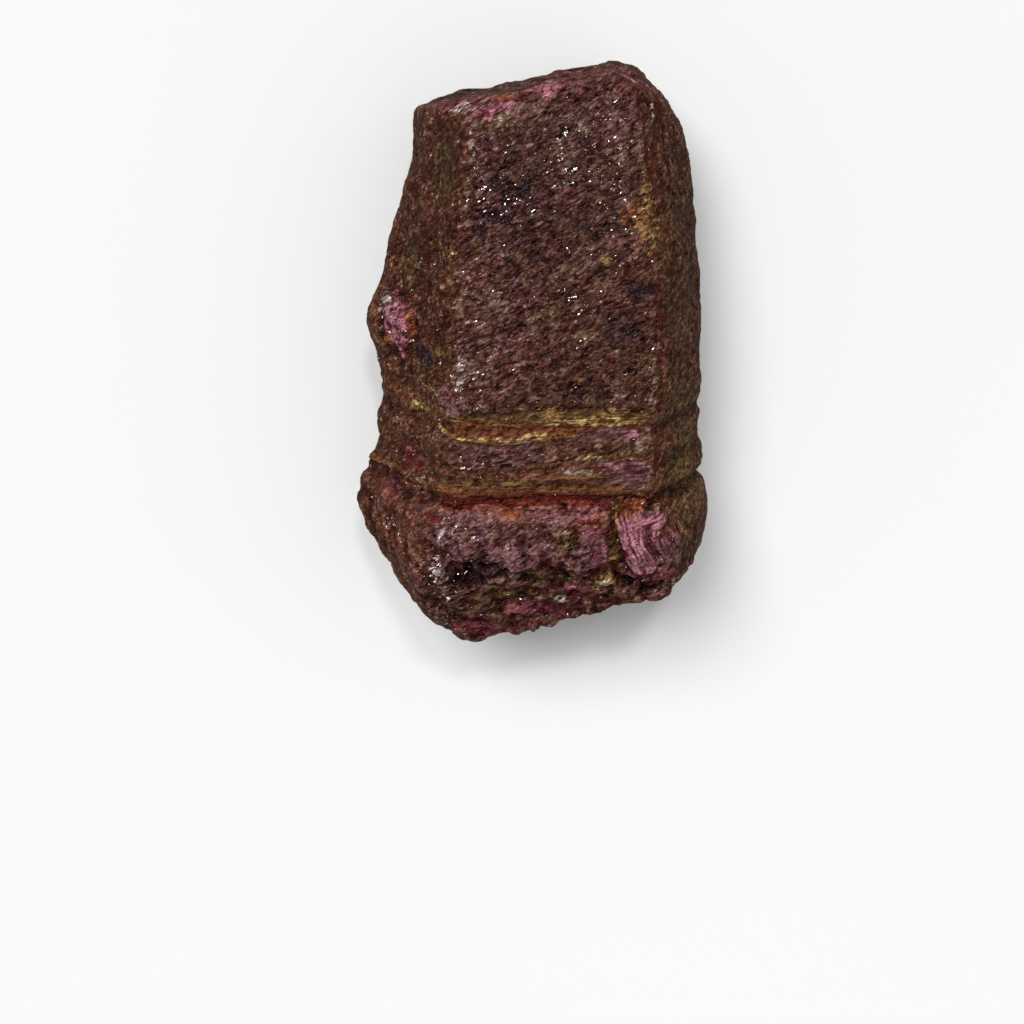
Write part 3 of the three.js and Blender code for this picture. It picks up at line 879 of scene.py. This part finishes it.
def flakes(graph, place, coarse, fine):
    """1 on the few grains that are bright flakes, more of them where the skin glitters."""
    glitter = graph.total((graph.clouds(place, 4.0, 2.0), 2.0), (graph.painted("glitter"), 0.8))
    glitter = graph.maths("MULTIPLY", graph.maths("SUBTRACT", glitter, 0.2), 0.16)
    small = graph.between(graph.maths("ADD", fine["Shine"], glitter), 0.92, 0.98)
    large = graph.between(graph.maths("ADD", coarse["Shine"], glitter), 0.99, 1.05)
    return graph.maths("MAXIMUM", graph.maths("MULTIPLY", small, fine["Core"]),
                       graph.maths("MULTIPLY", large, coarse["Core"]))


def grain_normal(graph, coarse, fine, mottle, layered, lines):
    """The skin's normal, turned grain by grain so that some catch the light, with their relief."""
    normal = graph.node("ShaderNodeNewGeometry").outputs["Normal"]
    turned = graph.vector("ADD", normal, graph.vector("SCALE", coarse["Turn"], 0.45))
    turned = graph.vector("ADD", turned, graph.vector("SCALE", fine["Turn"], 0.70))
    height = graph.maths("MULTIPLY_ADD", layered, 3.0, graph.total((mottle, 2.2)))
    height = graph.maths("SUBTRACT", height, graph.maths("MULTIPLY", coarse["Joint"], 0.35))
    height = graph.maths("SUBTRACT", height, graph.maths("MULTIPLY", lines, 1.2))
    bump = graph.node("ShaderNodeBump")
    bump.inputs["Strength"].default_value = 0.9
    bump.inputs["Distance"].default_value = GRAIN_RELIEF * MM
    graph.put(bump.inputs["Height"], height)
    graph.put(bump.inputs["Normal"], graph.vector("NORMALIZE", turned))
    return bump.outputs[0]


def corundum():
    """Dark granular ruby corundum with its tints, seams and glinting grains."""
    material = bpy.data.materials.new("corundum")
    material.use_nodes = True
    graph = Graph(material.node_tree)
    shader = material.node_tree.nodes["Principled BSDF"]
    shader.inputs["Specular IOR Level"].default_value = STONE_SHEEN

    place = graph.vector("SCALE", graph.node("ShaderNodeTexCoord").outputs["Object"], 1.0 / MM)
    comb = graph.node("ShaderNodeMapping", vector_type="TEXTURE")
    graph.put(comb.inputs["Vector"], place)
    comb.inputs["Rotation"].default_value = (0.0, 0.0, COMB_SLANT)
    comb.inputs["Scale"].default_value = DRAWN_OUT
    combed = comb.outputs[0]
    grains = grain_group()
    coarse = graph.placed(grains, Place=combed, Size=COARSE_GRAIN)
    fine = graph.placed(grains, Place=combed, Size=FINE_GRAIN)
    mottle = graph.clouds(combed, 0.6, 2.0, 0.7)
    leaves = leaf_clouds(graph, place)
    layered = graph.maths("MULTIPLY", graph.maths("SUBTRACT", leaves, 0.5), graph.painted("laminated"))

    pick = paleness(graph, place, combed, coarse, fine, mottle)
    shade = graph.between(graph.maths("MULTIPLY_ADD", layered, 2.0, pick), 0.22, 0.85)
    breaking = graph.total((fine["Shine"], 0.55), (mottle, 0.9), (coarse["Shine"], 0.3))
    breaking = graph.maths("MULTIPLY_ADD", layered, 0.8, breaking)
    colour = stone_colour(graph, place, pick)
    colour = band_colour(graph, colour, leaves, fine, mottle)
    colour = tint_colour(graph, colour, shade, breaking)
    lines = between_leaves(graph, place, leaves)
    colour = graph.mix(graph.maths("MULTIPLY", lines, 0.9), colour, BETWEEN_LEAVES)

    # a flake turns to metal before it turns pale, so that its rim is dark
    flake = flakes(graph, place, coarse, fine)
    white = graph.mix(fine["Pick"], DULL_FLAKE, BRIGHT_FLAKE)
    mirror = graph.between(flake, 0.0, 0.4)
    gleam = graph.between(coarse["Shine"], 0.45, 1.0, 0.0, 0.35)
    graph.put(shader.inputs["Base Color"], graph.mix(graph.between(flake, 0.4, 0.9), colour, white))
    graph.put(shader.inputs["Metallic"], graph.maths("MAXIMUM", gleam, mirror))
    graph.put(shader.inputs["Roughness"], graph.between(coarse["Shine"], 0.0, 1.0, 0.30, 0.08))
    graph.put(shader.inputs["Normal"], grain_normal(graph, coarse, fine, mottle, layered, lines))
    return material


FLOOR_MIRRORED = (0.12, 0.11, 0.10, 1.0)       # the floor is dark in the stone's glossy grains


def floor_material():
    material = bpy.data.materials.new("pale_floor")
    material.use_nodes = True
    graph = Graph(material.node_tree)
    shader = material.node_tree.nodes["Principled BSDF"]
    place = graph.node("ShaderNodeTexCoord").outputs["Object"]
    tone = graph.clouds(place, 0.4, 2.0)
    tones = graph.colours(tone, ((0.3, grey(0.91)), (0.7, grey(0.93))))
    mirrored = graph.node("ShaderNodeLightPath").outputs["Is Glossy Ray"]
    graph.put(shader.inputs["Base Color"], graph.mix(mirrored, tones["Color"], FLOOR_MIRRORED))
    shader.inputs["Roughness"].default_value = 0.9
    shader.inputs["Specular IOR Level"].default_value = 0.1
    return material


# ---------------------------------------------------------------- studio
FLOOR_RADIUS = 3.0             # in metres


def lay_floor():
    bpy.ops.object.select_all(action="DESELECT")
    bpy.ops.mesh.primitive_circle_add(vertices=96, radius=FLOOR_RADIUS, fill_type="NGON")
    floor = bpy.context.object
    floor.name = "floor"
    floor.data.materials.append(floor_material())


def sun(name, towards_x, towards_y, height, strength, spread, mirrored=True, lights=True):
    """A lamp far off, in the direction (towards_x, towards_y, height), as wide as spread in degrees.

    One that isn't mirrored only lights the crystal, and one that doesn't light it only shows in its grains.
    """
    lamp = bpy.data.lights.new(name, "SUN")
    lamp.energy, lamp.angle = strength, math.radians(spread)
    made = bpy.data.objects.new(name, lamp)
    made.rotation_mode = "QUATERNION"
    made.rotation_quaternion = Vector((towards_x, towards_y, height)).to_track_quat("Z", "Y")
    made.visible_glossy = mirrored
    made.visible_diffuse = lights
    bpy.context.scene.collection.objects.link(made)


ROOM_LIGHT = 0.24
ROOM_MIRRORED = 0.02           # the room is dark in the stone's glossy grains, which mirror the lamps instead
ROOM_SEEN = 0.92               # and as pale as the floor behind it


def light_studio():
    scene = bpy.context.scene
    scene.view_settings.view_transform = "Standard"
    world = bpy.data.worlds.new("studio")
    scene.world = world
    world.use_nodes = True
    graph = Graph(world.node_tree)
    sky = world.node_tree.nodes["Background"]
    sky.inputs["Color"].default_value = (1.0, 1.0, 1.0, 1.0)
    ray = graph.node("ShaderNodeLightPath").outputs
    strength = graph.between(ray["Is Glossy Ray"], 0.0, 1.0, ROOM_LIGHT, ROOM_MIRRORED)
    graph.put(sky.inputs["Strength"], graph.between(ray["Is Camera Ray"], 0.0, 1.0, strength, ROOM_SEEN))
    sun("softbox", -0.30, 0.55, 1.0, 1.95, 25)
    sun("fill", 0.5, 0.1, 1.0, 0.40, 60, mirrored=False)
    sun("glint_lamp", 0.10, 0.60, 1.0, 0.60, 6)
    sun("side_lamp", -0.95, 0.10, 0.40, 0.65, 30, lights=False)


LENS = 70.0
SENSOR = 36.0
LEAN = math.radians(12)        # the camera leans this far towards the termination
AWAY = 3.51 * LENGTH           # from the crystal's middle to the camera
MIDDLE_HEIGHT = 20.0           # the place that the camera is set from: its height above the floor,
MIDDLE_UP = 0.28               # and how far it is up the crystal from the middle of its length
AIM_RIGHT = -0.0098            # where the camera points, right of and below the crystal's middle, in AWAYs
AIM_BELOW = 0.0806


def stand_camera():
    """The camera looks down on the crystal, which sits above and right of the picture's middle."""
    lens = bpy.data.cameras.new("camera")
    lens.lens, lens.sensor_width, lens.clip_start = LENS, SENSOR, 0.01
    camera = bpy.data.objects.new("camera", lens)
    bpy.context.scene.collection.objects.link(camera)
    middle = Vector(((LOW[0] + HIGH[0]) / 2, (LOW[1] + HIGH[1]) / 2 + MIDDLE_UP, MIDDLE_HEIGHT))
    towards = Vector((0.0, math.sin(LEAN), math.cos(LEAN)))
    up = Vector((0.0, math.cos(LEAN), -math.sin(LEAN)))
    place = middle + towards * AWAY
    target = middle + (Vector((1, 0, 0)) * AIM_RIGHT - up * AIM_BELOW) * AWAY
    forward = (target - place).normalized()
    right = forward.cross(up).normalized()
    turn = Matrix((right, right.cross(forward), -forward)).transposed()
    camera.matrix_world = Matrix.Translation(place * MM) @ turn.to_4x4()
    bpy.context.scene.camera = camera


# ---------------------------------------------------------------- making it
def ruby_crystal():
    piece = skin_of(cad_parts[NODE])
    cut_seams(piece)
    raise_and_hollow(piece)
    roughen(piece)
    faces = sum(len(face.vertices) - 2 for face in piece.data.polygons)
    if faces > MOST_FACES:
        finish_with(piece, "thin_out", "DECIMATE", ratio=MOST_FACES / faces)
    paint(piece)
    piece.data.materials.append(corundum())
    only(piece)
    bpy.ops.object.shade_smooth()
    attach(piece, "root")
    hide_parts(NODE)


stand_camera()
lay_floor()
light_studio()
ruby_crystal()
